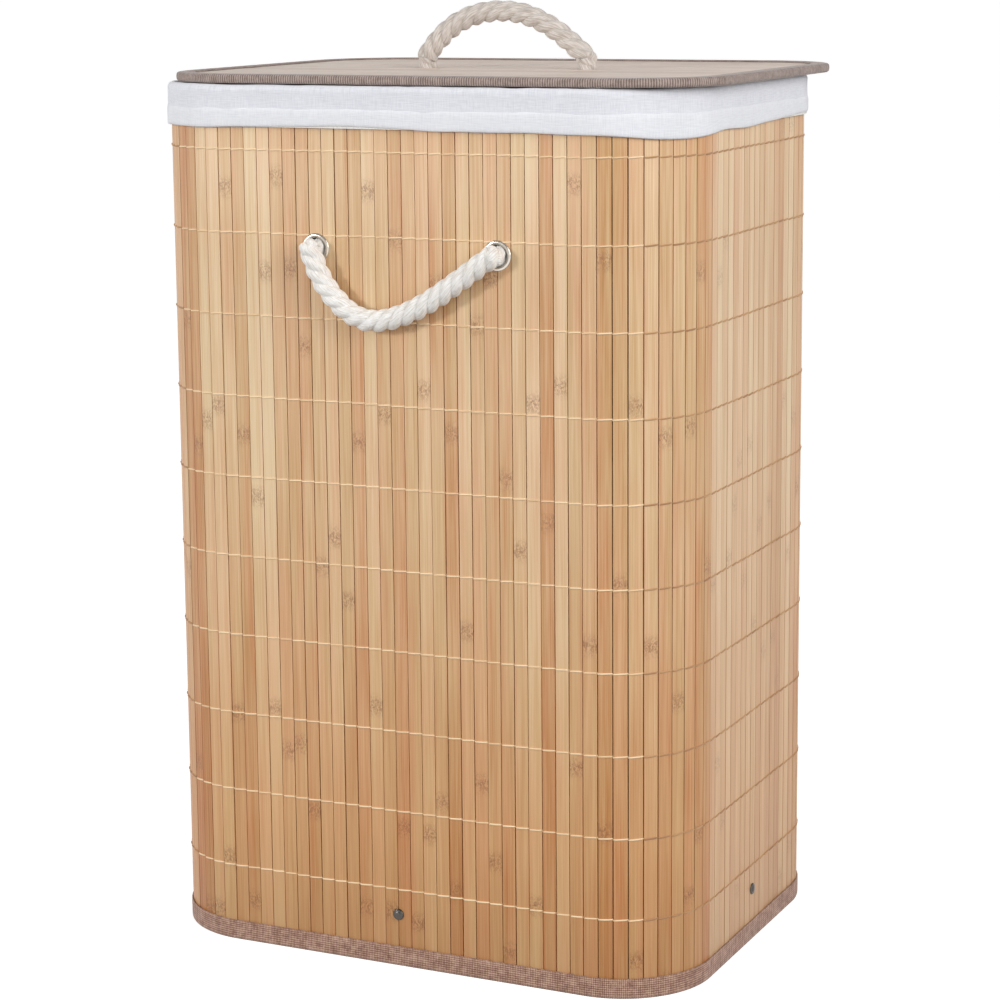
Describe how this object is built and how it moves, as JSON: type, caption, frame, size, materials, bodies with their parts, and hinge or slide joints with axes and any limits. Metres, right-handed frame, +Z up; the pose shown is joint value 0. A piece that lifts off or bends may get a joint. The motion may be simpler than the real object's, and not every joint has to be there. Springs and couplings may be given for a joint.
{
  "type": "laundry hamper",
  "caption": "Upright rounded-corner laundry hamper of bamboo slats with a cotton liner, rope handles and a hinged slatted lid.",
  "frame": {"origin": "on the floor, under the middle of the hamper's wall", "axes": "+Z up, -Y towards the front with the rope handle that the eye meets first, +X to the right seen from the front"},
  "size_m": [0.4182, 0.332, 0.661],
  "materials": {
    "bamboo": "satin",
    "lid_bamboo": "satin",
    "board": "matte",
    "backing_cloth": "matte",
    "thread": "matte",
    "tape": "matte",
    "base_cloth": "matte",
    "cotton": "matte",
    "elastic": "matte",
    "rope": "matte",
    "nickel": "polished",
    "steel_wire": "drawn"
  },
  "bodies": {
    "hamper": {"wall_backing": "backing_cloth", "front_slats": "bamboo", "back_slats": "bamboo", "left_slats": "bamboo", "right_slats": "bamboo", "corner_slats": "bamboo", "weave_threads": "thread", "wall_join_tape": "tape", "foot_tape": "tape", "rim_tape": "tape", "rim_wire": "steel_wire", "base_board": "board", "base_cover": "base_cloth", "base_tabs": "base_cloth", "stud_caps": "nickel", "stud_sockets": "nickel", "front_eyelets": "nickel", "back_eyelets": "nickel", "eyelet_washers": "nickel", "front_knots": "rope", "back_knots": "rope", "liner_bag": "cotton", "liner_floor": "cotton", "liner_hem": "cotton", "liner_elastic": "elastic", "wall_straps": "tape", "strap_studs": "nickel"},
    "lid": {"lid_board": "board", "lid_slats": "lid_bamboo", "lid_lining": "backing_cloth", "lid_tape": "tape", "lid_knots": "rope", "lid_straps": "tape"},
    "lid_handle": {"lid_rope": "rope"},
    "front_handle": {"front_rope": "rope"},
    "back_handle": {"back_rope": "rope"}
  },
  "joints": [
    {"name": "lid_hinge", "type": "hinge", "parent": "hamper", "child": "lid", "pos_m": [0, 0.16, 0.60745], "axis": [-1, 0, 0], "range_deg": [0, 225]},
    {"name": "lid_handle_tilt", "type": "hinge", "parent": "lid", "child": "lid_handle", "pos_m": [0.01, 0.005, 0.62125], "axis": [1, 0, 0], "range_deg": [-60, 60], "stiffness_Nm_per_rad": 0.05},
    {"name": "front_handle_swing", "type": "hinge", "parent": "hamper", "child": "front_handle", "pos_m": [0.0075, -0.15875, 0.499], "axis": [-1, 0, 0], "range_deg": [0, 175]},
    {"name": "back_handle_swing", "type": "hinge", "parent": "hamper", "child": "back_handle", "pos_m": [-0.0075, 0.15875, 0.499], "axis": [1, 0, 0], "range_deg": [0, 175]}
  ]
}
